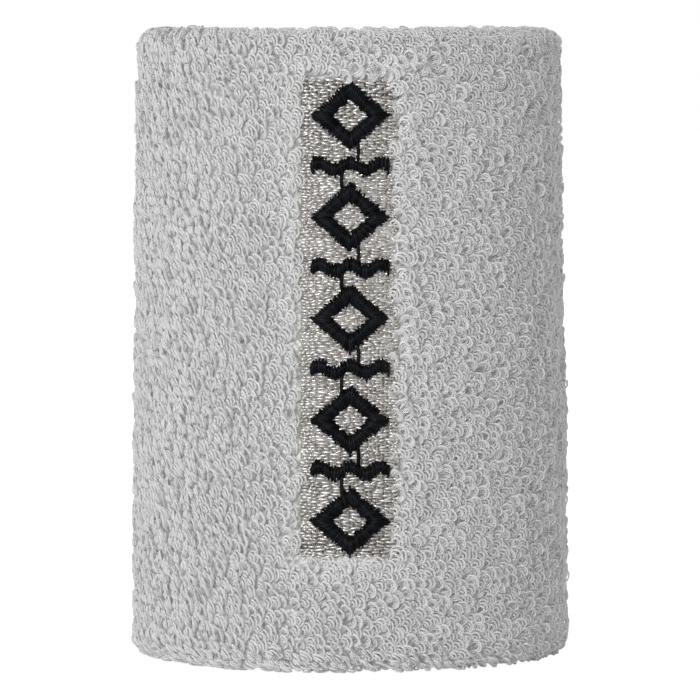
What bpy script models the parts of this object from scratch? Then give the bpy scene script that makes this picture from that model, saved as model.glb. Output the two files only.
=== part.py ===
"""Terry sweat wristband: one knitted tube folded double, with an embroidered strip on its front.

The band stands on its lower rim, so z = 0 is the plane it rests on and Z is the axis that the
wrist passes along. The embroidered strip faces -Y. Lengths are in metres.
"""

import math

import bmesh
import bpy

MM = 0.001

# The band. Radii are those at half height; the band widens slightly towards its foot.
BAND_HEIGHT = 80.0 * MM
OUTER_RADIUS = 27.5 * MM
LINING_RADIUS = 22.2 * MM
FOOT_FLARE = 0.8 * MM
RIM_LAND = 1.0 * MM
TUBE_STEPS = 56

# The hollow between the outer layer and the lining
HOLLOW_OUTER_RADIUS = 25.45 * MM
HOLLOW_INNER_RADIUS = 23.82 * MM
HOLLOW_CORNER = 0.6 * MM
RIM_THICKNESS = 2.1 * MM

# The closing seam, halfway up the lining
SEAM_HEIGHT = 0.5 * BAND_HEIGHT
SEAM_SLIT = 0.3 * MM
SEAM_GROOVE_HEIGHT = 3.4 * MM
SEAM_GROOVE_RADIUS = 23.15 * MM
SEAM_THREAD = 0.25 * MM
NEEDLE_THREAD_RADIUS = 22.93 * MM
NEEDLE_THREAD_RISE = 0.9 * MM
LOOPER_THREAD_RADIUS = 22.55 * MM
LOOPER_SWING = 1.3 * MM
LOOPER_WAVES = 30
LOOPER_POINTS = 120
NEEDLE_POINTS = 48

# The elastic yarn laid into each layer
ELASTIC_YARN = 0.25 * MM
ELASTIC_PITCH = 12.0 * MM
ELASTIC_POINTS_PER_TURN = 32
OUTER_ELASTIC_RADIUS = 25.22 * MM
LINING_ELASTIC_RADIUS = 24.15 * MM
ELASTIC_RIM_MARGIN = 4.0 * MM
ELASTIC_SEAM_MARGIN = 2.5 * MM

# The embroidered strip. Each layer is given by its inner radius and its thickness.
STRIP_WIDTH = 11.8 * MM
STRIP_LOW = 14.5 * MM
STRIP_HIGH = 73.6 * MM
RECESS_RADIUS = 26.15 * MM
RECESS_MARGIN = 0.3 * MM
FILL_LAYER = (26.30 * MM, 0.20 * MM)
MOTIF_LAYER = (26.65 * MM, 0.40 * MM)
BACKING_LAYER = (24.70 * MM, 0.18 * MM)
BOBBIN_LAYER = (24.40 * MM, 0.15 * MM)
BACKING_MARGIN = 1.5 * MM
BOBBIN_MARGIN = -0.4 * MM
STRIP_COLUMNS = 6
STRIP_ROWS = 4

# The black ornament: diamonds with a waved bar between each two
STROKE = 1.4 * MM
MOTIF_HALF_WIDTH = 4.65 * MM
DIAMOND_COUNT = 5
DIAMOND_HALF_HEIGHT = 4.1 * MM
WAVE_SWING = 0.45 * MM
WAVE_COUNT = 2.5
WAVE_STEPS = 16
ORNAMENT_INSET = 0.4 * MM
CONNECTING_THREAD = 0.30 * MM
CONNECTING_OFFSET = 0.9 * MM
CONNECTING_CLEARANCE = 0.12 * MM

COTTON = ((0.62, 0.62, 0.61), 0.95, 0.0)
SEWING_THREAD = ((0.78, 0.78, 0.77), 0.60, 0.0)
ELASTIC = ((0.80, 0.79, 0.76), 0.70, 0.0)
BACKING = ((0.85, 0.85, 0.84), 0.90, 0.0)
BOBBIN_THREAD = ((0.82, 0.82, 0.82), 0.50, 0.0)
SILVER_THREAD = ((0.42, 0.40, 0.38), 0.35, 0.25)
BLACK_THREAD = ((0.012, 0.012, 0.014), 0.35, 0.0)


def clear_scene():
    for obj in list(bpy.data.objects):
        bpy.data.objects.remove(obj, do_unlink=True)


def new_collection(name):
    collection = bpy.data.collections.new(name)
    bpy.context.scene.collection.children.link(collection)
    return collection


def new_material(name, finish):
    color, roughness, metallic = finish
    material = bpy.data.materials.new(name)
    material.use_nodes = True
    shader = material.node_tree.nodes["Principled BSDF"]
    shader.inputs["Base Color"].default_value = (*color, 1.0)
    shader.inputs["Roughness"].default_value = roughness
    shader.inputs["Metallic"].default_value = metallic
    return material


def add_object(name, data, finish, collection):
    obj = bpy.data.objects.new(name, data)
    obj.data.materials.append(new_material(name, finish))
    collection.objects.link(obj)
    return obj


def flare(z):
    """How much further out than at half height the band's layers lie at height z."""
    return FOOT_FLARE * (0.5 - z / BAND_HEIGHT)


def corner(center, start_degrees, end_degrees, radius, steps=3):
    """Profile points (radius, z) along a quarter turn."""
    points = []
    for step in range(steps + 1):
        angle = math.radians(start_degrees + (end_degrees - start_degrees) * step / steps)
        points.append((center[0] + radius * math.cos(angle), center[1] + radius * math.sin(angle)))
    return points


def tube_profile():
    """Section of the folded tube: a C whose two raw ends meet at the seam, halfway up the lining."""
    fold = 0.5 * (OUTER_RADIUS - LINING_RADIUS - RIM_LAND)
    fold_low, fold_high = fold, BAND_HEIGHT - fold
    hollow_low = RIM_THICKNESS + HOLLOW_CORNER
    hollow_high = BAND_HEIGHT - hollow_low
    hollow_in = HOLLOW_INNER_RADIUS + HOLLOW_CORNER
    hollow_out = HOLLOW_OUTER_RADIUS - HOLLOW_CORNER
    slit_low, slit_high = SEAM_HEIGHT - 0.5 * SEAM_SLIT, SEAM_HEIGHT + 0.5 * SEAM_SLIT
    groove_low = SEAM_HEIGHT - 0.5 * SEAM_GROOVE_HEIGHT
    groove_high = SEAM_HEIGHT + 0.5 * SEAM_GROOVE_HEIGHT

    points = corner((OUTER_RADIUS - fold, fold_low), 0, -90, fold)
    points += corner((LINING_RADIUS + fold, fold_low), -90, -180, fold)
    points += [(LINING_RADIUS, groove_low), (SEAM_GROOVE_RADIUS, groove_low)]
    points += [(SEAM_GROOVE_RADIUS, slit_low), (HOLLOW_INNER_RADIUS, slit_low)]
    points += corner((hollow_in, hollow_low), 180, 270, HOLLOW_CORNER, 2)
    points += corner((hollow_out, hollow_low), 270, 360, HOLLOW_CORNER, 2)
    points += corner((hollow_out, hollow_high), 0, 90, HOLLOW_CORNER, 2)
    points += corner((hollow_in, hollow_high), 90, 180, HOLLOW_CORNER, 2)
    points += [(HOLLOW_INNER_RADIUS, slit_high), (SEAM_GROOVE_RADIUS, slit_high)]
    points += [(SEAM_GROOVE_RADIUS, groove_high), (LINING_RADIUS, groove_high)]
    points += corner((LINING_RADIUS + fold, fold_high), 180, 90, fold)
    points += corner((OUTER_RADIUS - fold, fold_high), 90, 0, fold)
    return [(radius + flare(z), z) for radius, z in points]


def make_terry_tube(collection):
    mesh = bpy.data.meshes.new("terry_tube")
    profile = [(radius, 0.0, z) for radius, z in tube_profile()]
    edges = [(i, (i + 1) % len(profile)) for i in range(len(profile))]
    mesh.from_pydata(profile, edges, [])
    tube = add_object("terry_tube", mesh, COTTON, collection)
    screw = tube.modifiers.new("turn", "SCREW")
    screw.steps = screw.render_steps = TUBE_STEPS
    screw.use_merge_vertices = True
    screw.merge_threshold = 1e-6
    return tube


def cut_recess(tube, cutters):
    """The embroidery holds the pile down, so the strip lies in a shallow recess of the outer layer."""
    depth = OUTER_RADIUS + FOOT_FLARE - RECESS_RADIUS
    recess = curved_sheet("recess_cutter", (RECESS_RADIUS, depth), RECESS_MARGIN, COTTON, cutters)
    recess.hide_render = True
    recess.display_type = "WIRE"
    cut = tube.modifiers.new("recess", "BOOLEAN")
    cut.operation = "DIFFERENCE"
    cut.solver = "EXACT"
    cut.object = recess


def on_band(across, radius, z):
    """Point at a distance round the band from its front line, at a half-height radius and a height."""
    angle = across / RECESS_RADIUS
    reach = radius + flare(z)
    return reach * math.sin(angle), -reach * math.cos(angle), z


def wrap_round_band(bm):
    """Bend flat work round the band: x is the distance round it and y the radius."""
    for vertex in bm.verts:
        vertex.co = on_band(*vertex.co)


def face_outward(bm):
    """Turn every face of a closed form outward."""
    bmesh.ops.recalc_face_normals(bm, faces=bm.faces)
    if bm.calc_volume(signed=True) < 0:
        bmesh.ops.reverse_faces(bm, faces=bm.faces)


def slice_columns(bm, half_width, count):
    """Cut flat work into upright columns, so that it bends smoothly."""
    for index in range(1, count):
        across = half_width * (2 * index / count - 1)
        everything = bm.verts[:] + bm.edges[:] + bm.faces[:]
        bmesh.ops.bisect_plane(bm, geom=everything, dist=1e-7, plane_co=(across, 0, 0), plane_no=(1, 0, 0))


def slice_rows(bm, low, high, count):
    for index in range(1, count):
        z = low + (high - low) * index / count
        everything = bm.verts[:] + bm.edges[:] + bm.faces[:]
        bmesh.ops.bisect_plane(bm, geom=everything, dist=1e-7, plane_co=(0, 0, z), plane_no=(0, 0, 1))


def curved_sheet(name, layer, margin, finish, collection):
    """A sheet the size of the embroidered strip plus a margin all round, bent round the band."""
    radius, thickness = layer
    half_width = 0.5 * STRIP_WIDTH + margin
    low, high = STRIP_LOW - margin, STRIP_HIGH + margin
    bm = bmesh.new()
    bmesh.ops.create_cube(bm, size=1.0)
    bmesh.ops.scale(bm, vec=(2 * half_width, thickness, high - low), verts=bm.verts)
    bmesh.ops.translate(bm, vec=(0, radius + 0.5 * thickness, 0.5 * (low + high)), verts=bm.verts)
    slice_columns(bm, half_width, STRIP_COLUMNS)
    slice_rows(bm, low, high, STRIP_ROWS)
    wrap_round_band(bm)
    face_outward(bm)
    mesh = bpy.data.meshes.new(name)
    bm.to_mesh(mesh)
    bm.free()
    return add_object(name, mesh, finish, collection)


def flat_outline_mesh(name, outlines, thickness):
    """A closed slab from flat outlines of (across, up) points; an outline inside another is a hole."""
    curve = bpy.data.curves.new(name, "CURVE")
    curve.dimensions = "2D"
    curve.fill_mode = "BOTH"
    curve.extrude = 0.5 * thickness
    for outline in outlines:
        spline = curve.splines.new("POLY")
        spline.points.add(len(outline) - 1)
        for point, (across, up) in zip(spline.points, outline):
            point.co = (across, up, 0.0, 1.0)
        spline.use_cyclic_u = True
    flat = bpy.data.objects.new(name, curve)
    bpy.context.scene.collection.objects.link(flat)
    graph = bpy.context.evaluated_depsgraph_get()
    mesh = bpy.data.meshes.new_from_object(flat.evaluated_get(graph))
    bpy.data.objects.remove(flat)
    return mesh


def make_motif(name, outlines, collection):
    """A satin-stitched motif, raised on the filled strip and bent round the band with it."""
    radius, thickness = MOTIF_LAYER
    mesh = flat_outline_mesh(name, outlines, thickness)
    bm = bmesh.new()
    bm.from_mesh(mesh)
    bmesh.ops.remove_doubles(bm, verts=bm.verts, dist=1e-7)
    for vertex in bm.verts:
        across, up, depth = vertex.co
        vertex.co = (across, radius + 0.5 * thickness + depth, up)
    slice_columns(bm, MOTIF_HALF_WIDTH, STRIP_COLUMNS)
    wrap_round_band(bm)
    face_outward(bm)
    bm.to_mesh(mesh)
    bm.free()
    return add_object(name, mesh, BLACK_THREAD, collection)


def diamond(center, half_width, half_height):
    return [
        (half_width, center),
        (0.0, center + half_height),
        (-half_width, center),
        (0.0, center - half_height),
    ]


def diamond_ring(center):
    """The outer and inner edges of a diamond drawn with a stroke of even width."""
    slant = math.hypot(MOTIF_HALF_WIDTH, DIAMOND_HALF_HEIGHT)
    inner_width = MOTIF_HALF_WIDTH - STROKE * slant / DIAMOND_HALF_HEIGHT
    inner_height = DIAMOND_HALF_HEIGHT - STROKE * slant / MOTIF_HALF_WIDTH
    outer = diamond(center, MOTIF_HALF_WIDTH, DIAMOND_HALF_HEIGHT)
    return [outer, diamond(center, inner_width, inner_height)]


def wave_height(across):
    return WAVE_SWING * math.cos(math.pi * WAVE_COUNT * across / MOTIF_HALF_WIDTH)


def wave_bar(center):
    """A bar right across the ornament whose two edges run in a shallow wave."""
    steps = [MOTIF_HALF_WIDTH * (2 * i / WAVE_STEPS - 1) for i in range(WAVE_STEPS + 1)]
    upper = [(across, center + wave_height(across) + 0.5 * STROKE) for across in steps]
    lower = [(across, center + wave_height(across) - 0.5 * STROKE) for across in reversed(steps)]
    return [upper + lower]


def ornament_centers():
    """Heights of the motifs from the top down; even places hold diamonds and odd places waves."""
    top = STRIP_HIGH - ORNAMENT_INSET - DIAMOND_HALF_HEIGHT
    foot = STRIP_LOW + ORNAMENT_INSET + DIAMOND_HALF_HEIGHT
    places = 2 * DIAMOND_COUNT - 1
    return [top + (foot - top) * place / (places - 1) for place in range(places)]


def make_ornament(collection):
    for place, center in enumerate(ornament_centers()):
        number = place // 2 + 1
        if place % 2 == 0:
            make_motif(f"diamond_motif_{number}", diamond_ring(center), collection)
        else:
            make_motif(f"wave_motif_{number}", wave_bar(center), collection)


def thread(name, points, diameter, finish, collection, closed=False):
    """A round thread or yarn through the given points."""
    curve = bpy.data.curves.new(name, "CURVE")
    curve.dimensions = "3D"
    curve.bevel_depth = 0.5 * diameter
    curve.bevel_resolution = 1
    curve.use_fill_caps = not closed
    spline = curve.splines.new("POLY")
    spline.points.add(len(points) - 1)
    for point, place in zip(spline.points, points):
        point.co = (*place, 1.0)
    spline.use_cyclic_u = closed
    return add_object(name, curve, finish, collection)


def make_connecting_stitches(collection):
    """Short black threads that run from each motif to the next, alternately left and right."""
    centers = ornament_centers()
    radius = MOTIF_LAYER[0] + 0.5 * MOTIF_LAYER[1]
    for place in range(len(centers) - 1):
        side = 1 if place % 2 == 0 else -1
        across = side * CONNECTING_OFFSET
        diamond_center, wave_center = sorted(centers[place:place + 2], reverse=place % 2 == 0)
        up = 1 if diamond_center < wave_center else -1
        tip = DIAMOND_HALF_HEIGHT * (1 - CONNECTING_OFFSET / MOTIF_HALF_WIDTH)
        from_z = diamond_center + up * (tip + CONNECTING_THREAD)
        to_z = wave_center + wave_height(across) - up * (0.5 * STROKE + CONNECTING_CLEARANCE)
        points = [on_band(across, radius, from_z), on_band(across, radius, to_z)]
        thread(f"connecting_stitch_{place + 1}", points, CONNECTING_THREAD, BLACK_THREAD, collection)


def helix(radius, low, high):
    turns = (high - low) / ELASTIC_PITCH
    count = round(turns * ELASTIC_POINTS_PER_TURN)
    points = []
    for index in range(count + 1):
        angle = 2 * math.pi * turns * index / count
        z = low + (high - low) * index / count
        reach = radius + flare(z)
        points.append((reach * math.cos(angle), reach * math.sin(angle), z))
    return points


def make_elastic_yarns(collection):
    low, high = ELASTIC_RIM_MARGIN, BAND_HEIGHT - ELASTIC_RIM_MARGIN
    under_seam, over_seam = SEAM_HEIGHT - ELASTIC_SEAM_MARGIN, SEAM_HEIGHT + ELASTIC_SEAM_MARGIN
    yarns = {
        "outer_layer_elastic": helix(OUTER_ELASTIC_RADIUS, low, high),
        "lower_lining_elastic": helix(LINING_ELASTIC_RADIUS, low, under_seam),
        "upper_lining_elastic": helix(LINING_ELASTIC_RADIUS, over_seam, high),
    }
    for name, points in yarns.items():
        thread(name, points, ELASTIC_YARN, ELASTIC, collection)


def ring_of_thread(radius, count, rise, swing):
    """Points round the inside of the band, swinging up and down about a height above the seam."""
    points = []
    for index in range(count):
        angle = 2 * math.pi * index / count
        z = SEAM_HEIGHT + rise + swing * math.sin(LOOPER_WAVES * angle)
        reach = radius + flare(z)
        points.append((reach * math.cos(angle), reach * math.sin(angle), z))
    return points


def make_closing_seam(collection):
    """The needle thread runs straight round the seam and the looper thread swings across it."""
    needle = ring_of_thread(NEEDLE_THREAD_RADIUS, NEEDLE_POINTS, NEEDLE_THREAD_RISE, 0.0)
    looper = ring_of_thread(LOOPER_THREAD_RADIUS, LOOPER_POINTS, 0.0, LOOPER_SWING)
    thread("seam_needle_thread", needle, SEAM_THREAD, SEWING_THREAD, collection, closed=True)
    thread("seam_looper_thread", looper, SEAM_THREAD, SEWING_THREAD, collection, closed=True)


def main():
    clear_scene()
    band = new_collection("sweat_wristband")
    cutters = new_collection("cutters")
    tube = make_terry_tube(band)
    cut_recess(tube, cutters)
    make_elastic_yarns(band)
    make_closing_seam(band)
    curved_sheet("embroidery_backing", BACKING_LAYER, BACKING_MARGIN, BACKING, band)
    curved_sheet("bobbin_stitching", BOBBIN_LAYER, BOBBIN_MARGIN, BOBBIN_THREAD, band)
    curved_sheet("silver_fill_panel", FILL_LAYER, 0.0, SILVER_THREAD, band)
    make_ornament(band)
    make_connecting_stitches(band)


main()
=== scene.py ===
"""Looks of the terry sweat wristband: knitted ground, terry loops, embroidery, seam, floor and light.

Everything is in metres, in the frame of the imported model: the band stands on z = 0, its axis is Z
and the embroidered strip faces -Y.
"""

import math

import bpy
import numpy as np
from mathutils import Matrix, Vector


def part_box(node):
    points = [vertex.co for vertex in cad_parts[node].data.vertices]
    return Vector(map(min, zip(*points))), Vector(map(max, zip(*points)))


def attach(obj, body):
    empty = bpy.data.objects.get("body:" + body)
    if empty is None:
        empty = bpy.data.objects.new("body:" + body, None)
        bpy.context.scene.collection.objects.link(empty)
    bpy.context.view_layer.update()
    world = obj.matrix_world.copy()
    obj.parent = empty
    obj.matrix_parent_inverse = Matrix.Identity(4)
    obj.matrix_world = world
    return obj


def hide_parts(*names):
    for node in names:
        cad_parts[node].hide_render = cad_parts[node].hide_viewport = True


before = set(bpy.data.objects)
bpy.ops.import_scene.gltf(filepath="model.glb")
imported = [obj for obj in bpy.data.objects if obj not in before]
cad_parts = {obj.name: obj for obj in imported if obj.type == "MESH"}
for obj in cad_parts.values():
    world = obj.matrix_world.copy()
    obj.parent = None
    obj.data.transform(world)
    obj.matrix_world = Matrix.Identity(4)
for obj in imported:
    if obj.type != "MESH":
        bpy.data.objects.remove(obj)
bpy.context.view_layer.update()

MM = 0.001
RANDOM = np.random.default_rng(2024)

# Knit: wales run up the band and courses run round it
OUTER_WALES = 136
OUTER_COURSE = 1.12 * MM
LINING_WALES = 124
LINING_COURSE = 1.22 * MM
COURSE_STAGGER = 0.30        # of a wale, from each course to the next
PLACE_SCATTER = 0.13         # of a wale and of a course
OUTER_PILE = 1.40 * MM
LINING_PILE = 1.20 * MM
SEAM_BARE = 1.6 * MM         # of the section on each side of the seam, without loops
SEAM_SLIT = 0.05 * MM        # from the seam to each of the ground's two ends
GROUND_THICKNESS = 0.40 * MM
GROUND_AROUND = 248
GROUND_ALONG = 170

# Terry loops: each is a nest of two to four strands
YARN_RADIUS = 0.138 * MM
YARN_SCATTER = (0.06, 0.04)  # of the radius, between strands and along one strand
PATH_SCATTER = 0.018 * MM
LOOP_SIZE = 1.46             # a loop's length over the pile's height
LOOP_WIDTH = 0.40            # the radius of a loop's round head over its length
LEAST_WIDTH = 0.14
HEAD_DEGREES = 112           # how far the head reaches to each side
FOOT_SPREAD = (0.35, 0.72)   # the feet's and the knees' distance from the middle, over the head's end
KNEE = 0.45
NEST_PITCH = 0.40 * MM
NEST_NARROWING = 0.25 * MM
FAN_DEGREES = 9.5
ROOT_DEPTH = 0.35 * MM
PRESSED = 0.75               # of what stands above the pile's height is pressed back
SIZE_SCATTER = (0.08, 0.04)  # of the size, loop by loop and from place to place
HEIGHT_SCATTER = (0.09, 0.08)
LEAN_DEGREES, LEAN_SCATTER = 54, (5, 4)
TILT_DEGREES, TILT_SCATTER = 42, (9, 6)
ROLL_DEGREES, ROLL_SCATTER = 18, 8
SCATTER_LIMIT = 1.8
STRAY_SHARE = 0.04
STRAY_TILT = (-0.8, 1.4)     # radians
STRAY_SIZE = 0.9

# Loops near the strip, which nothing holds together
NEAR_STRIP = 3 * MM
FREE_GROWTH = 0.25
FREE_LEAN_SCATTER = 12
FREE_STRAY_SHARE = 0.25
# painted light: loops round the strip are made paler, so that they come out brighter there
PAINTED_LIGHT_GAIN = 1.6

# The patch without loops under the strip: it lies off to the side from which the loops lean over it
LOOP_REACH = 0.8 * MM
GAP_LEFT = 0.2 * MM
OVERLAP_RIGHT = 0.3 * MM
GAP_BELOW = 1.3 * MM
OVERLAP_ABOVE = 0.4 * MM

# A pile's pieces, each strand's points and sides, and the shares of nests of two, three and four
OUTER_PIECES, OUTER_SHAPE, OUTER_STRANDS = 18, (11, 5), (0.05, 0.60, 0.35)
LINING_PIECES, LINING_SHAPE, LINING_STRANDS = 4, (9, 4), (0.2, 0.6, 0.2)

# Silver fill: rows of short stitches over an underlay of upright threads, given by their radii
FILL_ROW = 0.40 * MM
FILL_THREAD = 0.165 * MM
FILL_STITCH = (0.7 * MM, 1.8 * MM)
FILL_EDGE = 1.3 * MM
FILL_EDGE_LENGTH = 0.6       # of the length that a stitch has farther in
FILL_RAGGED = 0.5 * MM
FILL_LAST = 0.3 * MM
FILL_OVERLAP = (0.12 * MM, 0.10 * MM)
FILL_SLOPE = 0.13 * MM
FILL_WANDER = 0.22 * MM
FILL_END_SCATTER = 0.07 * MM
FILL_RISE = (-0.19 * MM, 0.23 * MM)
FILL_POINTS = 8
UNDERLAY_PITCH = 0.50 * MM
UNDERLAY_DEPTH = 2.0 * FILL_THREAD
UNDERLAY_SCATTER = 0.02 * MM
# painted shade: the underlay gets one dark tone for the shade between the fill's stitches
UNDERLAY_SHADED_TONE = 0.2
UNDERLAY_POINTS = 60

# Black satin and connecting threads, given by their radii
STROKE = 1.4 * MM
WAVE_COUNT = 2.5
SATIN_PITCH = 0.19 * MM
SATIN_THREAD = 0.165 * MM
SATIN_HEIGHT = 0.62 * MM
SATIN_STEP = 0.07 * MM
SATIN_LONGER = 0.30 * MM
SATIN_RAGGED = 0.11 * MM
SATIN_SKEW = 0.03 * MM
SATIN_POINTS = 11
STITCH_DOME = 2.4
STITCH_DIP = 1.5             # thread radii that a stitch's ends lie under the surface
STITCH_SCATTER = 0.05
CONNECTING_THREAD = 0.24 * MM
CONNECTING_OVERLAP = 0.5 * MM
CONNECTING_BOW = 0.12 * MM
CONNECTING_RISE = 0.10 * MM
CONNECTING_POINTS = 12

# Closing seam, its threads given by their radius
SEAM_THREAD = 0.14 * MM
SEAM_STITCHES = 60
LOOPER_WAVES = 90
LOOPER_SWING = 1.3 * MM
POINTS_PER_STITCH = 12

# Materials: light spreads inside the cotton, and a faint even glow of painted light stands for what its
# fibres pass on
LIGHT_SPREAD = 0.9 * MM
YARN_GLOW = 0.022
# painted light: the knitted ground glows faintly, so that the gaps between the loops don't go dark
GROUND_GLOW = 0.06
KNIT_STITCH = 0.45 * MM
ROOT_SHARE = 0.85            # of a strand's lift, up to which it is shaded

# Floor, light and camera
FLOOR_SIZE = 8.0
FLOOR_GLOW = 0.85
BRIGHT_SIDE = (-0.36, -0.93, 0.1)
WORLD_FRONT, WORLD_BACK = 0.49, 0.05
LIGHT_TARGET = (0, 0, 0.04)
CAMERA_DISTANCE = 0.814
CAMERA_LENS = 328.5
AIM_HEIGHT = 0.503           # of the band's height

# Fabric simulation
SIM_AROUND = 96
SIM_ALONG = 72
SIM_FRAMES = 14
SIM_CAP = 0.45 * MM
SIM_UNEVEN = 0.35 * MM


# ---------------------------------------------------------------- small vector helpers

def unit(vectors):
    """The vectors scaled to length one."""
    return vectors / np.linalg.norm(vectors, axis=-1, keepdims=True)


def turned(first, second, angle):
    """The first directions, turned towards the second ones by the angles: one of each for every loop."""
    return np.cos(angle)[:, None] * first + np.sin(angle)[:, None] * second


def smooth_noise(u, v, cells_u, cells_v, seed):
    """Smooth random field in -1..1 on the unit square, repeating in both directions."""
    table = np.random.default_rng(seed).uniform(-1, 1, (cells_u, cells_v))
    x, y = (u % 1.0) * cells_u, (v % 1.0) * cells_v
    i, j = np.floor(x).astype(int), np.floor(y).astype(int)
    fx, fy = x - i, y - j
    fx, fy = fx * fx * (3 - 2 * fx), fy * fy * (3 - 2 * fy)
    i0, i1, j0, j1 = i % cells_u, (i + 1) % cells_u, j % cells_v, (j + 1) % cells_v
    low = table[i0, j0] * (1 - fx) + table[i1, j0] * fx
    high = table[i0, j1] * (1 - fx) + table[i1, j1] * fx
    return low * (1 - fy) + high * fy


# ---------------------------------------------------------------- the band's shape, from the frame

class Band:
    """The folded tube's ground fabric as a surface: u runs round the band and s along its section.

    The section starts at the seam inside, runs down the lining, round the foot, up the outside,
    round the top and down the lining to the seam again.
    """

    def __init__(self):
        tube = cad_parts["terry_tube"]
        points = np.array([vertex.co for vertex in tube.data.vertices])
        radius, z = np.hypot(points[:, 0], points[:, 1]), points[:, 2]
        self.height = z.max()
        foot, top = z < 0.1 * self.height, z > 0.9 * self.height
        self.foot_radius, self.top_radius = radius[foot].max(), radius[top].max()
        self.flare = self.foot_radius - self.top_radius
        self.outer = 0.5 * (self.foot_radius + self.top_radius)
        self.lining = 0.5 * (radius[foot].min() + radius[top].min())
        self.ground_outer = self.outer - OUTER_PILE
        self.ground_lining = self.lining + LINING_PILE
        self.fold = 0.5 * (self.ground_outer - self.ground_lining)
        self.fold_radius = 0.5 * (self.ground_outer + self.ground_lining)
        self.fold_z = self.fold + OUTER_PILE
        straight = self.height - 2 * self.fold_z
        half_lining = 0.5 * straight
        # Arc lengths are measured at half the pile's height, where the loops have to be even.
        self.fold_length = math.pi * (self.fold + 0.5 * OUTER_PILE)
        lengths = [half_lining, self.fold_length, straight, self.fold_length, half_lining]
        self.stops = np.concatenate([[0.0], np.cumsum(lengths)])
        self.length = self.stops[-1]
        self.moved = None

    def section(self, s):
        """Radius, height and outward normal (radial, upward) of the ground fabric at s."""
        s = np.asarray(s, float)
        a, b, c, d, _ = self.stops[1:]
        down, up = s < a, s >= d
        foot, outside, top = (s >= a) & (s < b), (s >= b) & (s < c), (s >= c) & (s < d)
        angle = np.zeros_like(s)
        angle[down | up] = math.pi
        angle[foot] = math.pi * (1 + (s[foot] - a) / (b - a))
        angle[top] = math.pi * (s[top] - c) / (d - c)
        center = np.full_like(s, self.fold_z)
        center[down] = 0.5 * self.height - s[down]
        center[outside] = self.fold_z + s[outside] - b
        center[top] = self.height - self.fold_z
        center[up] = self.height - self.fold_z - (s[up] - d)
        radius = self.fold_radius + self.fold * np.cos(angle)
        z = center + self.fold * np.sin(angle)
        radius = radius + self.flare * (0.5 - z / self.height)
        return radius, z, np.cos(angle), np.sin(angle)

    def rest_point(self, u, s):
        """Points on the ground fabric before the simulation."""
        radius, z, _, _ = self.section(s)
        angle = 2 * math.pi * u
        return np.stack([radius * np.cos(angle), radius * np.sin(angle), z], -1)

    def shift(self, u, s):
        """How far the simulated fabric lies from its starting place, by bilinear interpolation."""
        if self.moved is None:
            return np.zeros((*np.shape(u), 3))
        x, y = (u % 1.0) * SIM_AROUND, (s / self.length % 1.0) * SIM_ALONG
        i, j = np.floor(x).astype(int), np.floor(y).astype(int)
        fx, fy = (x - i)[..., None], (y - j)[..., None]
        i0, i1, j0, j1 = i % SIM_AROUND, (i + 1) % SIM_AROUND, j % SIM_ALONG, (j + 1) % SIM_ALONG
        low = self.moved[i0, j0] * (1 - fx) + self.moved[i1, j0] * fx
        high = self.moved[i0, j1] * (1 - fx) + self.moved[i1, j1] * fx
        return low * (1 - fy) + high * fy

    def point(self, u, s):
        """Points on the ground fabric as the simulation leaves it."""
        return self.rest_point(u, s) + self.shift(u, s)

    def axes(self, u, s):
        """Unit vectors out of the fabric, round the band and along its section."""
        _, _, radial, upward = self.section(s)
        angle = 2 * math.pi * np.asarray(u)
        outward = np.stack([np.cos(angle), np.sin(angle), np.zeros_like(angle)], -1)
        around = np.stack([-np.sin(angle), np.cos(angle), np.zeros_like(angle)], -1)
        z = np.array([0.0, 0.0, 1.0])
        normal = radial[..., None] * outward + upward[..., None] * z
        along = radial[..., None] * z - upward[..., None] * outward
        return normal, around, along


# ---------------------------------------------------------------- meshes

def mesh_from_arrays(name, points, quads, triangles):
    """A smooth-shaded mesh from arrays of points, four-sided faces and three-sided faces."""
    mesh = bpy.data.meshes.new(name)
    mesh.vertices.add(len(points))
    mesh.vertices.foreach_set("co", np.ascontiguousarray(points, np.float32).ravel())
    corners = np.concatenate([quads.ravel(), triangles.ravel()]).astype(np.int32)
    sizes = np.concatenate([np.full(len(quads), 4), np.full(len(triangles), 3)])
    starts = np.concatenate([[0], np.cumsum(sizes)[:-1]]).astype(np.int32)
    mesh.loops.add(len(corners))
    mesh.loops.foreach_set("vertex_index", corners)
    mesh.polygons.add(len(sizes))
    mesh.polygons.foreach_set("loop_start", starts)
    mesh.update(calc_edges=True)
    mesh.shade_smooth()
    return mesh


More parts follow.
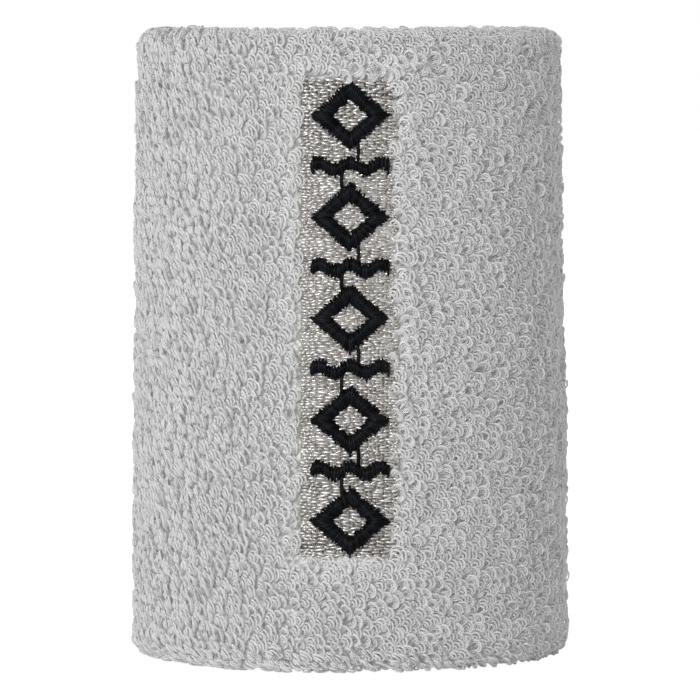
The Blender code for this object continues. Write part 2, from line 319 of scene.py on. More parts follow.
def tubes_mesh(name, paths, reference, radius, sides, tone=None):
    """Closed tubes along paths of shape (count, points, 3), pointed at both ends.

    reference is a direction that is never along a path and radius is (count, points). The material
    reads two attributes: tone, a number for each tube that is random unless it is given, and lift,
    0 at a tube's ends and 1 in its middle. The map OFBake gives each tube a cell of its own.
    """
    count, steps, _ = paths.shape
    if tone is None:
        tone = RANDOM.random(count)
    tangent = np.empty_like(paths)
    tangent[:, 1:-1] = paths[:, 2:] - paths[:, :-2]
    tangent[:, 0] = paths[:, 1] - paths[:, 0]
    tangent[:, -1] = paths[:, -1] - paths[:, -2]
    tangent = unit(tangent)
    side = unit(np.cross(tangent, np.broadcast_to(reference, paths.shape)))
    up = np.cross(side, tangent)
    turn = 2 * math.pi * np.arange(sides) / sides
    ring = (
        paths[:, 1:-1, None]
        + radius[:, 1:-1, None, None] * np.cos(turn)[:, None] * side[:, 1:-1, None]
        + radius[:, 1:-1, None, None] * np.sin(turn)[:, None] * up[:, 1:-1, None]
    )
    rings = steps - 2
    each = rings * sides + 2
    ring = ring.reshape(count, rings * sides, 3)
    points = np.concatenate([ring, paths[:, :1], paths[:, -1:]], 1)

    around = np.arange(sides)
    after = (around + 1) % sides
    level = np.arange(rings - 1)[:, None] * sides
    above = level + sides
    quads = np.stack([level + around, above + around, above + after, level + after], -1)
    quads = quads.reshape(-1, 4)
    first, last = rings * sides, rings * sides + 1
    start_cap = np.stack([np.full(sides, first), around, after], -1)
    end_ring = (rings - 1) * sides
    end_cap = np.stack([np.full(sides, last), end_ring + after, end_ring + around], -1)
    caps = np.concatenate([start_cap, end_cap])
    offset = (np.arange(count) * each)[:, None, None]
    mesh = mesh_from_arrays(
        name, points.reshape(-1, 3), (quads + offset).reshape(-1, 4), (caps + offset).reshape(-1, 3)
    )

    # One cell of the map for each tube
    columns = math.ceil(math.sqrt(count))
    cell = np.stack([np.arange(count) % columns, np.arange(count) // columns], -1) / columns
    step = np.repeat(np.arange(1, rings), sides)
    quad_v = np.stack([step, step + 1, step + 1, step], -1) / (steps - 1)
    one = np.tile(around, rings - 1)
    quad_u = np.stack([one, one, one + 1, one + 1], -1) / sides
    start_uv = np.stack([(around + 0.5) / sides, around / sides, (around + 1) / sides], -1)
    end_uv = np.stack([(around + 0.5) / sides, (around + 1) / sides, around / sides], -1)
    start_v = np.broadcast_to([0.0, 1 / (steps - 1), 1 / (steps - 1)], (sides, 3))
    quad_uv = np.stack([quad_u, quad_v], -1).reshape(-1, 2)
    cap_uv = np.concatenate(
        [np.stack([start_uv, start_v], -1), np.stack([end_uv, 1 - start_v], -1)]
    ).reshape(-1, 2)

    def placed(local):
        """Each tube's own map, shrunk into the tube's cell."""
        inside = 0.1 + 0.8 * local
        return (cell[:, None] + inside / columns).reshape(-1, 2)

    layer = mesh.uv_layers.new(name="OFBake")
    uv = np.concatenate([placed(quad_uv), placed(cap_uv)]).astype(np.float32)
    layer.data.foreach_set("uv", uv.ravel())

    tones = mesh.attributes.new("tone", "FLOAT", "POINT")
    tones.data.foreach_set("value", np.repeat(tone, each).astype(np.float32))
    share = np.repeat(np.arange(1, steps - 1) / (steps - 1), sides)
    share = np.concatenate([share, [0.0, 1.0]])
    lift = mesh.attributes.new("lift", "FLOAT", "POINT")
    lift.data.foreach_set("value", np.tile(np.sin(math.pi * share), count).astype(np.float32))
    return mesh


def add_piece(name, mesh, material, replaced):
    """Put a mesh in the scene as a piece that stands for a CAD node."""
    piece = bpy.data.objects.new(name, mesh)
    mesh.materials.append(material)
    bpy.context.scene.collection.objects.link(piece)
    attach(piece, "root")
    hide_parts(replaced)
    return piece


# ---------------------------------------------------------------- fabric simulation

def simulate_fabric(band):
    """Let the folded tube relax as cloth with a little air in it, and keep how far it moved."""
    u = np.arange(SIM_AROUND) / SIM_AROUND
    s = np.arange(SIM_ALONG) / SIM_ALONG * band.length
    uu, ss = np.meshgrid(u, s, indexing="ij")
    start = band.rest_point(uu, ss)
    normal, _, _ = band.axes(uu, ss)
    uneven = SIM_UNEVEN * smooth_noise(uu, ss / band.length, 7, 5, 11)
    start_uneven = start + normal * uneven[..., None]
    i, j = np.meshgrid(np.arange(SIM_AROUND), np.arange(SIM_ALONG), indexing="ij")

    def index(i, j):
        """Number of the point in row i and column j of the closed grid."""
        return (i % SIM_AROUND) * SIM_ALONG + j % SIM_ALONG

    quads = np.stack([index(i, j), index(i + 1, j), index(i + 1, j + 1), index(i, j + 1)], -1)
    mesh = mesh_from_arrays(
        "fabric_sim", start_uneven.reshape(-1, 3), quads.reshape(-1, 4), np.zeros((0, 3), int)
    )
    cloth_body = bpy.data.objects.new("fabric_sim", mesh)
    bpy.context.scene.collection.objects.link(cloth_body)
    cloth = cloth_body.modifiers.new("cloth", "CLOTH")
    settings = cloth.settings
    settings.quality = 6
    settings.mass = 0.1
    settings.tension_stiffness = settings.compression_stiffness = 25
    settings.shear_stiffness = 10
    settings.bending_stiffness = 2
    settings.use_pressure = True
    settings.uniform_pressure_force = 4
    settings.effector_weights.gravity = 0
    cloth.point_cache.frame_start, cloth.point_cache.frame_end = 1, SIM_FRAMES
    for number in range(1, SIM_FRAMES + 1):
        bpy.context.scene.frame_set(number)
    graph = bpy.context.evaluated_depsgraph_get()
    relaxed = cloth_body.evaluated_get(graph).to_mesh()
    co = np.empty(len(relaxed.vertices) * 3, np.float32)
    relaxed.vertices.foreach_get("co", co)
    bpy.data.objects.remove(cloth_body)
    bpy.context.scene.frame_set(1)
    moved = co.reshape(SIM_AROUND, SIM_ALONG, 3) - start
    reach = np.linalg.norm(moved, axis=-1, keepdims=True)
    return moved * np.minimum(1.0, SIM_CAP / np.maximum(reach, 1e-9))


# ---------------------------------------------------------------- terry

def pressed_back(band, paths, pile):
    """Paths whose parts above the pile's height are mostly pressed back, square to the folded tube."""
    reach = np.hypot(paths[..., 0], paths[..., 1])
    z = np.clip(paths[..., 2], band.fold_z, band.height - band.fold_z)
    middle = band.fold_radius + band.flare * (0.5 - z / band.height)
    away = np.stack([reach - middle, paths[..., 2] - z], -1)
    distance = np.linalg.norm(away, axis=-1)
    above = np.maximum(distance + YARN_RADIUS - band.fold - pile[:, None], 0)
    back = -PRESSED * (above / distance)[..., None] * away
    outward = paths[..., :2] / reach[..., None]
    return paths + np.concatenate([back[..., :1] * outward, back[..., 1:]], -1)


def loop_paths(band, loops, strand, points):
    """Paths of one strand of each loop, and the direction square to the loop.

    A loop leans over round the band by its lean. In its own plane it points along the band by its
    tilt, and its roll turns that plane's upper side out. Its strands fan out from their feet and nest.
    """
    u, s, size, lean, tilt, roll, strands, side, height, _ = loops
    normal, around, along = band.axes(u, s)
    place = band.rest_point(u, s)
    fan = np.radians(FAN_DEGREES) * side * (strand - 0.5 * (strands - 1))
    over = turned(normal, around, lean)
    square = turned(-around, normal, lean)
    upper, square = turned(along, square, roll), turned(square, -along, roll)
    out, across = turned(over, upper, tilt), turned(upper, -over, tilt)
    out, square = turned(out, square, fan), turned(square, -out, fan)

    radius = np.maximum(LOOP_WIDTH * size - NEST_NARROWING * strand, LEAST_WIDTH * size)
    length = size - NEST_PITCH * strand
    turn = np.radians(HEAD_DEGREES) * np.linspace(-1, 1, points - 4)
    arc_out = (length - radius)[:, None] + radius[:, None] * np.cos(turn)
    arc_across = radius[:, None] * np.sin(turn)
    root = np.full(len(size), -ROOT_DEPTH)
    knee = KNEE * (arc_out[:, 0] - root) + root
    legs_out = np.stack([root, knee], -1)
    spread = np.abs(arc_across[:, :1]) * FOOT_SPREAD
    path_out = np.concatenate([legs_out, arc_out, legs_out[:, ::-1]], 1)
    path_across = np.concatenate([-spread, arc_across, spread[:, ::-1]], 1)
    paths = place[:, None] + path_out[..., None] * out[:, None]
    paths = paths + path_across[..., None] * across[:, None]
    return pressed_back(band, paths, height) + band.shift(u, s)[:, None], square


def loop_places(s_low, s_high, wales, course):
    """Slightly uneven places of the loops between two places on the section."""
    rows = round((s_high - s_low) / course)
    row, wale = np.meshgrid(np.arange(rows), np.arange(wales), indexing="ij")
    row, wale = row.ravel(), wale.ravel()
    u = (wale + COURSE_STAGGER * row + RANDOM.normal(0, PLACE_SCATTER, len(row))) / wales % 1.0
    s = s_low + (row + 0.5 + RANDOM.normal(0, PLACE_SCATTER, len(row))) * (s_high - s_low) / rows
    return u, s


def scatter(spread, count):
    """Random numbers about zero with the given spread and no far outliers."""
    return spread * np.clip(RANDOM.normal(0, 1, count), -SCATTER_LIMIT, SCATTER_LIMIT)


def wobble(spreads, u, share, cells, seed):
    """Random numbers about zero: a part that differs loop by loop and one that drifts over the band."""
    single, drift = spreads
    return scatter(single, len(u)) + drift * smooth_noise(u, share, *cells, seed)


def grow_loops(band, name, material, pieces, u, s, pile, shape, strand_shares, free, pale):
    """Loops at the given places, split into pieces round the band.

    Free is 0 in the even pile and rises to 1 where nothing holds the loops together: there they are
    larger and less even. Pale is painted light: it is 0 where the strands' tones are random and 1 where
    all are light, so that the loops round the strip come out brighter.
    """
    count = len(u)
    share = s / band.length
    size = pile * LOOP_SIZE * (1 + wobble(SIZE_SCATTER, u, share, (23, 29), 5))
    size = size * (1 + FREE_GROWTH * free)
    lean = LEAN_DEGREES + wobble(LEAN_SCATTER, u, share, (17, 21), 6)
    lean = np.radians(lean + free * scatter(FREE_LEAN_SCATTER, count))
    tilt = np.radians(TILT_DEGREES + wobble(TILT_SCATTER, u, share, (19, 23), 7))
    roll = np.radians(ROLL_DEGREES + scatter(ROLL_SCATTER, count))
    stray = RANDOM.random(count) < STRAY_SHARE + FREE_STRAY_SHARE * free
    tilt[stray] += RANDOM.uniform(*STRAY_TILT, stray.sum())
    size[stray] *= STRAY_SIZE
    strands = RANDOM.choice([2, 3, 4], count, p=strand_shares)
    side = RANDOM.choice([-1.0, 1.0], count)
    height = pile * (1 + wobble(HEIGHT_SCATTER, u, share, (41, 47), 8))
    loops = np.stack([u, s, size, lean, tilt, roll, strands, side, height, pale])
    sector = np.floor(u * pieces).astype(int)
    points, sides = shape

    for number in range(pieces):
        paths, squares, tones = [], [], []
        for strand in range(4):
            chosen = loops[:, (sector == number) & (strands > strand)]
            path, square = loop_paths(band, chosen, strand, points)
            paths.append(path)
            squares.append(square)
            # Pale loops get light tones: painted light
            tones.append(chosen[-1] + (1 - chosen[-1]) * RANDOM.random(len(path)))
        paths = np.concatenate(paths)
        squares = np.concatenate(squares)
        tones = np.concatenate(tones)
        paths = paths + RANDOM.normal(0, PATH_SCATTER, paths.shape)
        # Nothing hangs below the plane that the band stands on
        paths[..., 2] = np.maximum(paths[..., 2], YARN_RADIUS)
        between, within = YARN_SCATTER
        radius = YARN_RADIUS * (1 + RANDOM.normal(0, between, (len(paths), 1)))
        radius = radius * (1 + RANDOM.normal(0, within, (len(paths), points)))
        piece_name = f"{name}_{number + 1:02d}"
        mesh = tubes_mesh(piece_name, paths, squares[:, None], radius, sides, tones)
        add_piece(piece_name, mesh, material, "terry_tube")


def grow_outer_pile(band, strip, material):
    """The outer pile, from fold to fold, with larger loops to the right of and under the strip."""
    u, s = loop_places(band.stops[1], band.stops[4], OUTER_WALES, OUTER_COURSE)
    _, z, radial, _ = band.section(s)
    outside = radial > 0.5
    # The strip's middle is at u = 0.75, where the band faces -Y.
    across = (u - 0.75) * 2 * math.pi * strip.surface + LOOP_REACH
    beside = np.maximum(-across - GAP_LEFT, across + OVERLAP_RIGHT) - strip.half_width
    beyond = np.maximum(strip.low - GAP_BELOW - z, z - strip.high + OVERLAP_ABOVE)
    gap = np.maximum(beside, beyond)
    kept = ~(outside & (gap < 0))
    near = np.clip(1 - gap / NEAR_STRIP, 0, 1) * outside
    free = near * ((across > 0) | (z < strip.low))
    # Painted light: the loops round the strip get light tones
    pale = np.minimum(PAINTED_LIGHT_GAIN * near, 1)
    grow_loops(
        band, "outer_pile", material, OUTER_PIECES, u[kept], s[kept], OUTER_PILE, OUTER_SHAPE,
        OUTER_STRANDS, free[kept], pale[kept],
    )


def grow_lining_pile(band, material):
    """The pile inside the band, below and above the closing seam."""
    halves = {
        "lower_lining_pile": (SEAM_BARE, band.stops[1]),
        "upper_lining_pile": (band.stops[4], band.length - SEAM_BARE),
    }
    for name, (s_low, s_high) in halves.items():
        u, s = loop_places(s_low, s_high, LINING_WALES, LINING_COURSE)
        none = np.zeros(len(u))
        grow_loops(
            band, name, material, LINING_PIECES, u, s, LINING_PILE, LINING_SHAPE,
            LINING_STRANDS, none, none,
        )


def make_ground(band, material):
    """The knitted ground that the loops stand on, open at the seam."""
    uu, ss = np.meshgrid(
        np.arange(GROUND_AROUND) / GROUND_AROUND,
        np.linspace(SEAM_SLIT, band.length - SEAM_SLIT, GROUND_ALONG),
        indexing="ij",
    )
    points = band.point(uu, ss)
    i, j = np.meshgrid(np.arange(GROUND_AROUND), np.arange(GROUND_ALONG - 1), indexing="ij")
    here, after = i * GROUND_ALONG + j, (i + 1) % GROUND_AROUND * GROUND_ALONG + j
    quads = np.stack([here, after, after + 1, here + 1], -1)
    mesh = mesh_from_arrays(
        "ground", points.reshape(-1, 3), quads.reshape(-1, 4), np.zeros((0, 3), int)
    )
    ground = add_piece("knitted_ground", mesh, material, "terry_tube")
    solid = ground.modifiers.new("thickness", "SOLIDIFY")
    solid.thickness = GROUND_THICKNESS
    solid.offset = -1


# ---------------------------------------------------------------- embroidery and seam

class Strip:
    """The embroidered strip, placed by the frame's own boxes: distance round the band, height, rise."""

    def __init__(self, band):
        low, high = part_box("silver_fill_panel")
        self.band = band
        self.low, self.high = low.z, high.z
        self.surface = -low.y - self.flare(low.z)
        self.half_width = self.surface * math.asin(high.x / -low.y)

    def flare(self, z):
        """How much wider the band is at a height than at its middle."""
        return self.band.flare * (0.5 - z / self.band.height)

    def point(self, across, z, rise):
        """Points at distances round the band from the strip's middle, at a rise over its surface."""
        angle = across / self.surface
        reach = self.surface + rise + self.flare(z)
        return np.stack([reach * np.sin(angle), -reach * np.cos(angle), z], -1)

    def extent(self, node):
        """Half width, middle height and half height of a motif."""
        low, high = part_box(node)
        middle = 0.5 * (low.z + high.z)
        reach = -low.y - self.flare(low.z) + self.flare(middle)
        return self.surface * math.asin(high.x / reach), middle, 0.5 * (high.z - low.z)


def stitches_mesh(name, strip, start, end, rise, radius, reference, points):
    """Stitches from start to end, both (count, 2): each dips under the surface at its two ends."""
    share = np.linspace(0, 1, points)
    flat = start[:, None] + (end - start)[:, None] * share[:, None]
    dome = 1 - np.abs(2 * share - 1) ** STITCH_DOME
    dip = STITCH_DIP * radius
    paths = strip.point(flat[..., 0], flat[..., 1], (rise + dip)[:, None] * dome - dip)
    widths = radius * (1 + RANDOM.normal(0, STITCH_SCATTER, (len(paths), points)))
    return tubes_mesh(name, paths, reference, widths, 6)


def make_fill_rows(strip, material):
    """The silver fill's rows of short stitches, which wander up and down and lie at uneven heights."""
    rows = round((strip.high - strip.low) / FILL_ROW)
    starts, ends = [], []
    for row in range(rows):
        z = strip.low + (row + 0.5) * (strip.high - strip.low) / rows
        across = -strip.half_width - RANDOM.uniform(0, 1) * FILL_RAGGED
        while across < strip.half_width - FILL_LAST:
            at_edge = strip.half_width - abs(across) < FILL_EDGE
            length = RANDOM.uniform(*FILL_STITCH) * (FILL_EDGE_LENGTH if at_edge else 1.0)
            stop = min(across + length, strip.half_width)
            slope = RANDOM.normal(0, FILL_SLOPE)
            starts.append((across, z + slope))
            ends.append((stop + FILL_OVERLAP[0], z - slope))
            across = stop - FILL_OVERLAP[1]
    starts, ends = np.array(starts), np.array(ends)
    wander = FILL_WANDER * smooth_noise(starts[:, 0] / 20 / MM, starts[:, 1] / 60 / MM, 14, 31, 3)
    starts[:, 1] += wander
    ends[:, 1] += wander + RANDOM.normal(0, FILL_END_SCATTER, len(ends))
    rise = RANDOM.uniform(*FILL_RISE, len(starts))
    mesh = stitches_mesh(
        "silver_fill_rows", strip, starts, ends, rise, FILL_THREAD, Vector((0, 0, 1)), FILL_POINTS
    )
    add_piece("silver_fill_rows", mesh, material, "silver_fill_panel")


def make_underlay(strip, material):
    """The upright threads under the silver fill, which close the gaps between its stitches."""
    columns = round(2 * strip.half_width / UNDERLAY_PITCH)
    across = np.linspace(-strip.half_width, strip.half_width, columns)[:, None]
    z = np.linspace(strip.low, strip.high, UNDERLAY_POINTS)[None]
    across, z = np.broadcast_arrays(across, z)
    depth = -UNDERLAY_DEPTH + RANDOM.normal(0, UNDERLAY_SCATTER, z.shape)
    # Painted shade: the underlay's one dark tone stands for the shade in the gaps between the fill's
    # stitches
    mesh = tubes_mesh(
        "silver_fill_underlay",
        strip.point(across, z, depth),
        Vector((1, 0, 0)),
        np.full(z.shape, 0.5 * UNDERLAY_PITCH),
        6,
        np.full(columns, UNDERLAY_SHADED_TONE),
    )
    add_piece("silver_fill_underlay", mesh, material, "silver_fill_panel")


def satin_mesh(strip, name, rail_a, rail_b):
    """A satin-stitched column between two rails; every other stitch is longer and lies on top."""
    count = len(rail_a)
    middle = 0.5 * (rail_a + rail_b)
    along = unit(np.gradient(middle, axis=0))
    upper = np.arange(count) % 2
    longer = SATIN_LONGER * upper + RANDOM.normal(0, SATIN_RAGGED, count)
    over = (1 + longer / (0.5 * STROKE))[:, None]
    skew = along * RANDOM.normal(0, SATIN_SKEW, (count, 1))
    start = middle + (rail_a - middle) * over + skew
    end = middle + (rail_b - middle) * over - skew
    width = np.linalg.norm(end - start, axis=1)
    rise = SATIN_HEIGHT * np.minimum(1, width / STROKE) - SATIN_STEP * (1 - upper)
    angle = middle[:, 0] / strip.surface
    reference = np.stack(
        [along[:, 0] * np.cos(angle), along[:, 0] * np.sin(angle), along[:, 1]], -1
    )
    return stitches_mesh(
        name, strip, start, end, rise, SATIN_THREAD, reference[:, None], SATIN_POINTS
    )


def diamond_rails(half_width, middle, half_height):
    """Outer and inner edge of a diamond ring, stitch by stitch round its four sides."""
    slant = math.hypot(half_width, half_height)
    inner_width = half_width - STROKE * slant / half_height
    inner_height = half_height - STROKE * slant / half_width
    count = round(slant / SATIN_PITCH)
    share = (np.arange(count) / count)[:, None]
    rails = []
    for width, height in ((half_width, half_height), (inner_width, inner_height)):
        corners = np.array([(width, 0), (0, height), (-width, 0), (0, -height), (width, 0)])
        sides = [corners[i] * (1 - share) + corners[i + 1] * share for i in range(4)]
        rails.append(np.concatenate(sides) + [0, middle])
    return rails


def wave_rails(half_width, middle, half_height):
    """Upper and lower edge of a bar whose edges run in a shallow wave."""
    swing = half_height - 0.5 * STROKE
    across = np.linspace(-half_width, half_width, round(2 * half_width / SATIN_PITCH))
    z = middle + swing * np.cos(math.pi * WAVE_COUNT * across / half_width)
    return [np.stack([across, z + 0.5 * STROKE], -1), np.stack([across, z - 0.5 * STROKE], -1)]


def make_motifs(strip, material):
    """The black satin ornaments, each in the place of its CAD node."""
    for node in sorted(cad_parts):
        if "_motif_" in node:
            rails = diamond_rails if node.startswith("diamond") else wave_rails
            mesh = satin_mesh(strip, node + "_satin", *rails(*strip.extent(node)))
            add_piece(node + "_satin", mesh, material, node)


def make_connecting_threads(strip, material):
    """The single black threads that run from each ornament to the next."""
    for node in sorted(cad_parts):
        if node.startswith("connecting_stitch"):
            low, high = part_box(node)
            middle = 0.5 * (low.x + high.x)
            bow = np.sin(np.linspace(0, math.pi, CONNECTING_POINTS))
            across = middle + math.copysign(CONNECTING_BOW, middle) * bow
            z = np.linspace(low.z - CONNECTING_OVERLAP, high.z + CONNECTING_OVERLAP, CONNECTING_POINTS)
            paths = strip.point(across, z, CONNECTING_RISE * (1 + bow))[None]
            radius = np.full((1, CONNECTING_POINTS), CONNECTING_THREAD)
            mesh = tubes_mesh(node + "_thread", paths, Vector((1, 0, 0)), radius, 8)
            add_piece(node + "_thread", mesh, material, node)


def ring_thread(name, node, material, swing, waves, dip, rise):
    """A sewing thread right round the inside of the band, swinging up and down and dipping in."""
    low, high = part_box(node)
    count = POINTS_PER_STITCH * waves
    # The thread runs one step past a full turn, so that its ends overlap
    angle = np.linspace(0, 2 * math.pi * (1 + 1 / count), count)
    reach = high.x + rise + dip * np.cos(2 * waves * angle)
    z = 0.5 * (low.z + high.z) + swing * np.sin(waves * angle)
    paths = np.stack([reach * np.cos(angle), reach * np.sin(angle), z], -1)[None]
    outward = np.stack([np.cos(angle), np.sin(angle), 0 * angle], -1)[None]
    mesh = tubes_mesh(name, paths, outward, np.full((1, count), SEAM_THREAD), 8)
    add_piece(name, mesh, material, node)


def make_seam(material):
    """The closing seam: a needle thread in stitches and a looper thread zigzagging over the join."""
    ring_thread(
        "needle_stitches", "seam_needle_thread", material,
        swing=0.0, waves=SEAM_STITCHES, dip=0.10 * MM, rise=-0.1 * MM,
    )
    ring_thread(
        "looper_zigzag", "seam_looper_thread", material,
        swing=LOOPER_SWING, waves=LOOPER_WAVES, dip=0.05 * MM, rise=0.1 * MM,
    )


# ---------------------------------------------------------------- materials

def material_with_nodes(name):
    """A new material, its nodes, its links and its shader."""
    material = bpy.data.materials.new(name)
    material.use_nodes = True
    tree = material.node_tree
    return material, tree.nodes, tree.links, tree.nodes["Principled BSDF"]


def attribute(nodes, name):
    """The value of one of the mesh's attributes."""
    node = nodes.new("ShaderNodeAttribute")
    node.attribute_name = name
    return node.outputs["Fac"]


def color_ramp(nodes, low, low_color, high, high_color):
    """A colour ramp from one colour at low to another at high."""
    ramp = nodes.new("ShaderNodeValToRGB")
    for element, place, color in zip(
        ramp.color_ramp.elements, (low, high), (low_color, high_color)
    ):
        element.position = place
        element.color = (*color, 1)
    return ramp


def thread_material(name, dark, light, root_shade, mottle_scale, roughness, metallic, shine, glow):
    """Yarn or thread: each strand has its own tone, its ends are darker with painted shade and its
    colour is mottled.

    Glow is the share of the light that spreads through the yarn. A faint even glow of painted light goes
    with it, so that the gaps between the strands don't go dark.
    """
    material, nodes, links, shader = material_with_nodes(name)
    place = nodes.new("ShaderNodeTexCoord")
    mottle = nodes.new("ShaderNodeTexNoise")
    mottle.inputs["Scale"].default_value = mottle_scale
    mottle.inputs["Detail"].default_value = 3
    links.new(place.outputs["Object"], mottle.inputs["Vector"])
    # Two thirds of the sum of the strand's tone and half the mottle, which comes to 0..1
    blend = nodes.new("ShaderNodeMath")
    blend.operation = "MULTIPLY_ADD"
    blend.inputs[1].default_value = 0.5
    links.new(mottle.outputs["Fac"], blend.inputs[0])
    links.new(attribute(nodes, "tone"), blend.inputs[2])
    scaled = nodes.new("ShaderNodeMath")
    scaled.operation = "MULTIPLY"
    scaled.inputs[1].default_value = 0.67
    links.new(blend.outputs[0], scaled.inputs[0])
    colors = color_ramp(nodes, 0.1, dark, 0.9, light)
    links.new(scaled.outputs[0], colors.inputs["Fac"])
    # Painted shade: each strand is darker towards its ends, where it goes down into the fabric
    roots = nodes.new("ShaderNodeMapRange")
    roots.inputs["From Max"].default_value = ROOT_SHARE
    roots.inputs["To Min"].default_value = root_shade
    links.new(attribute(nodes, "lift"), roots.inputs["Value"])
    shade = nodes.new("ShaderNodeMix")
    shade.data_type = "RGBA"
    shade.blend_type = "MULTIPLY"
    shade.inputs["Factor"].default_value = 1.0
    links.new(colors.outputs["Color"], shade.inputs["A"])
    links.new(roots.outputs["Result"], shade.inputs["B"])
    links.new(shade.outputs["Result"], shader.inputs["Base Color"])
    shader.inputs["Roughness"].default_value = roughness
    shader.inputs["Metallic"].default_value = metallic
    shader.inputs["Specular IOR Level"].default_value = shine
    # Painted light: a faint even glow, so that the gaps between the strands don't go dark
    shader.inputs["Emission Color"].default_value = (0.97, 0.97, 0.96, 1)
    shader.inputs["Emission Strength"].default_value = YARN_GLOW * glow
    shader.inputs["Subsurface Weight"].default_value = glow
    shader.inputs["Subsurface Radius"].default_value = (1.0, 1.0, 1.0)
    shader.inputs["Subsurface Scale"].default_value = LIGHT_SPREAD
    return material


def terry_cotton():
    """Pale grey cotton yarn, matt, which lets light spread through it and glows faintly with painted
    light.
    """
    return thread_material(
        "terry_cotton",
        dark=(0.738, 0.737, 0.736),
        light=(0.958, 0.957, 0.958),
        root_shade=0.95,
        mottle_scale=900,
        roughness=0.9,
        metallic=0.0,
        shine=0.2,
        glow=1.0,
    )


def silver_thread():
    """Warm silver-grey filament thread, shiny."""
    return thread_material(
        "silver_thread",
        dark=(0.47, 0.437, 0.408),
        light=(1.0, 0.985, 0.955),
        root_shade=0.42,
        mottle_scale=2200,
        roughness=0.28,
        metallic=0.60,
        shine=0.5,
        glow=0.0,
    )


def black_thread():
    """Black filament thread with a faint bluish sheen."""
    return thread_material(
        "black_thread",
        dark=(0.0005, 0.0005, 0.0005),
        light=(0.012, 0.0135, 0.017),
        root_shade=0.3,
        mottle_scale=1500,
        roughness=0.30,
        metallic=0.0,
        shine=0.10,
        glow=0.0,
    )


def sewing_thread():
    """Pale grey spun sewing thread."""
    return thread_material(
        "sewing_thread",
        dark=(0.62, 0.62, 0.61),
        light=(0.80, 0.80, 0.79),
        root_shade=0.9,
        mottle_scale=1500,
        roughness=0.6,
        metallic=0.0,
        shine=0.3,
        glow=0.0,
    )


def noise_material(name, dark, light, scale, roughness):
    """A plain material whose colour is mottled."""
    material, nodes, links, shader = material_with_nodes(name)
    place = nodes.new("ShaderNodeTexCoord")
    noise = nodes.new("ShaderNodeTexNoise")
    noise.inputs["Scale"].default_value = scale
    colors = color_ramp(nodes, 0.3, dark, 0.7, light)
    links.new(place.outputs["Object"], noise.inputs["Vector"])
    links.new(noise.outputs["Fac"], colors.inputs["Fac"])
    links.new(colors.outputs["Color"], shader.inputs["Base Color"])
    shader.inputs["Roughness"].default_value = roughness
    return material


def knitted_cotton():
    """The knitted ground between the loops: pale stitches with dark joints."""
    dark, light = (0.42, 0.42, 0.42), (0.90, 0.90, 0.89)
    material, nodes, links, shader = material_with_nodes("cotton_ground")
    place = nodes.new("ShaderNodeTexCoord")
    cells = nodes.new("ShaderNodeTexVoronoi")
    cells.inputs["Scale"].default_value = 1 / KNIT_STITCH
    colors = color_ramp(nodes, 0.15, light, 0.75, dark)
    links.new(place.outputs["Object"], cells.inputs["Vector"])
    links.new(cells.outputs["Distance"], colors.inputs["Fac"])
    links.new(colors.outputs["Color"], shader.inputs["Base Color"])
    shader.inputs["Roughness"].default_value = 0.95
    # Painted light: a faint glow lifts the ground seen in the gaps between the loops
    shader.inputs["Emission Color"].default_value = (*light, 1)
    shader.inputs["Emission Strength"].default_value = GROUND_GLOW
    return material


def dress_hidden_nodes():
    """Materials for the parts that stay as the CAD has them, inside the folded tube."""
    elastic = noise_material("elastic_yarn", (0.66, 0.65, 0.62), (0.80, 0.79, 0.76), 900, 0.6)
    backing = noise_material("nonwoven_backing", (0.74, 0.74, 0.73), (0.88, 0.88, 0.87), 1400, 0.9)
    bobbin = noise_material("bobbin_thread", (0.70, 0.70, 0.70), (0.86, 0.86, 0.86), 1800, 0.45)
    hidden = {
        "outer_layer_elastic": elastic,
        "lower_lining_elastic": elastic,
        "upper_lining_elastic": elastic,
        "embroidery_backing": backing,
        "bobbin_stitching": bobbin,
    }
    for node, material in hidden.items():
        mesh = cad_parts[node].data
        mesh.materials.clear()
        mesh.materials.append(material)


# ---------------------------------------------------------------- floor, light and camera

def make_stage():
    """A plain white floor that fades into the white surround, with a soft contact shadow left on it.

    Its glow is seen by the camera only and lights nothing.
    """
    bpy.ops.mesh.primitive_plane_add(size=FLOOR_SIZE, location=(0, 0, -0.2 * MM))
    floor = bpy.context.object
    floor.name = "floor"
    material, nodes, links, shader = material_with_nodes("pale_floor")
    shader.inputs["Base Color"].default_value = (0.9, 0.9, 0.9, 1)
    shader.inputs["Roughness"].default_value = 0.9
    shader.inputs["Emission Color"].default_value = (1, 1, 1, 1)
    path = nodes.new("ShaderNodeLightPath")
    glow = nodes.new("ShaderNodeMath")
    glow.operation = "MULTIPLY"
    glow.inputs[1].default_value = FLOOR_GLOW
    links.new(path.outputs["Is Camera Ray"], glow.inputs[0])
    links.new(glow.outputs[0], shader.inputs["Emission Strength"])
    floor.data.materials.append(material)


def place_and_aim(thing, location, target):
    """Put a light or a camera somewhere and point it at a target."""
    thing.location = location
    thing.rotation_mode = "QUATERNION"
    thing.rotation_quaternion = (Vector(target) - Vector(location)).to_track_quat("-Z", "Y")
    bpy.context.scene.collection.objects.link(thing)


def make_light(name, location, size, power):
    """A round soft light that points at the band."""
    data = bpy.data.lights.new(name, "AREA")
    data.shape = "DISK"
    data.size = size
    data.energy = power
    place_and_aim(bpy.data.objects.new(name, data), location, LIGHT_TARGET)


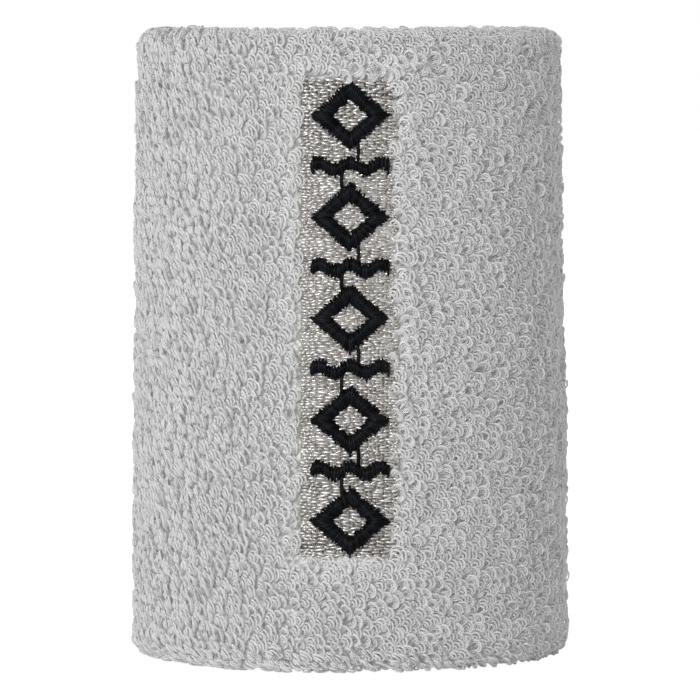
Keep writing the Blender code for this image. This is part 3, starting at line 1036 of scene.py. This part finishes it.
def make_world():
    """A white surround, brightest in front and to the left; the camera itself sees plain white."""
    world = bpy.data.worlds.new("studio")
    bpy.context.scene.world = world
    world.use_nodes = True
    nodes, links = world.node_tree.nodes, world.node_tree.links
    background = nodes["Background"]
    background.inputs["Color"].default_value = (1, 1, 1, 1)
    place = nodes.new("ShaderNodeTexCoord")
    facing = nodes.new("ShaderNodeVectorMath")
    facing.operation = "DOT_PRODUCT"
    facing.inputs[1].default_value = BRIGHT_SIDE
    links.new(place.outputs["Generated"], facing.inputs[0])
    side = nodes.new("ShaderNodeMapRange")
    side.interpolation_type = "SMOOTHSTEP"
    side.inputs["From Min"].default_value = -1.0
    side.inputs["To Min"].default_value = WORLD_BACK
    side.inputs["To Max"].default_value = WORLD_FRONT
    links.new(facing.outputs["Value"], side.inputs["Value"])
    path = nodes.new("ShaderNodeLightPath")
    power = nodes.new("ShaderNodeMapRange")
    power.inputs["To Max"].default_value = 1.0
    links.new(side.outputs["Result"], power.inputs["To Min"])
    links.new(path.outputs["Is Camera Ray"], power.inputs["Value"])
    links.new(power.outputs["Result"], background.inputs["Strength"])


def make_camera(band):
    """A long lens level with the upper rim, pointed at the middle of the band's front."""
    data = bpy.data.cameras.new("camera")
    data.sensor_width = 36
    data.lens = CAMERA_LENS
    data.clip_start, data.clip_end = 0.05, 20
    camera = bpy.data.objects.new("camera", data)
    target = (0, -band.outer, AIM_HEIGHT * band.height)
    place_and_aim(camera, (0, -CAMERA_DISTANCE, band.height), target)
    bpy.context.scene.camera = camera


def main():
    """Build the whole scene round the loaded frame."""
    band = Band()
    band.moved = simulate_fabric(band)
    strip = Strip(band)
    cotton, silver, black = terry_cotton(), silver_thread(), black_thread()
    make_ground(band, knitted_cotton())
    grow_outer_pile(band, strip, cotton)
    grow_lining_pile(band, cotton)
    make_fill_rows(strip, silver)
    make_underlay(strip, silver)
    make_motifs(strip, black)
    make_connecting_threads(strip, black)
    make_seam(sewing_thread())
    dress_hidden_nodes()
    make_stage()
    make_world()
    make_light("key", (-0.50, -1.23, 0.50), size=0.6, power=9.2)
    make_light("back", (-0.10, 1.30, 0.45), size=0.8, power=2.5)
    make_light("side", (0.70, 1.10, 0.20), size=0.6, power=3.6)
    make_camera(band)
    bpy.context.scene.view_settings.view_transform = "Standard"
    bpy.context.scene.cycles.diffuse_bounces = 12


main()
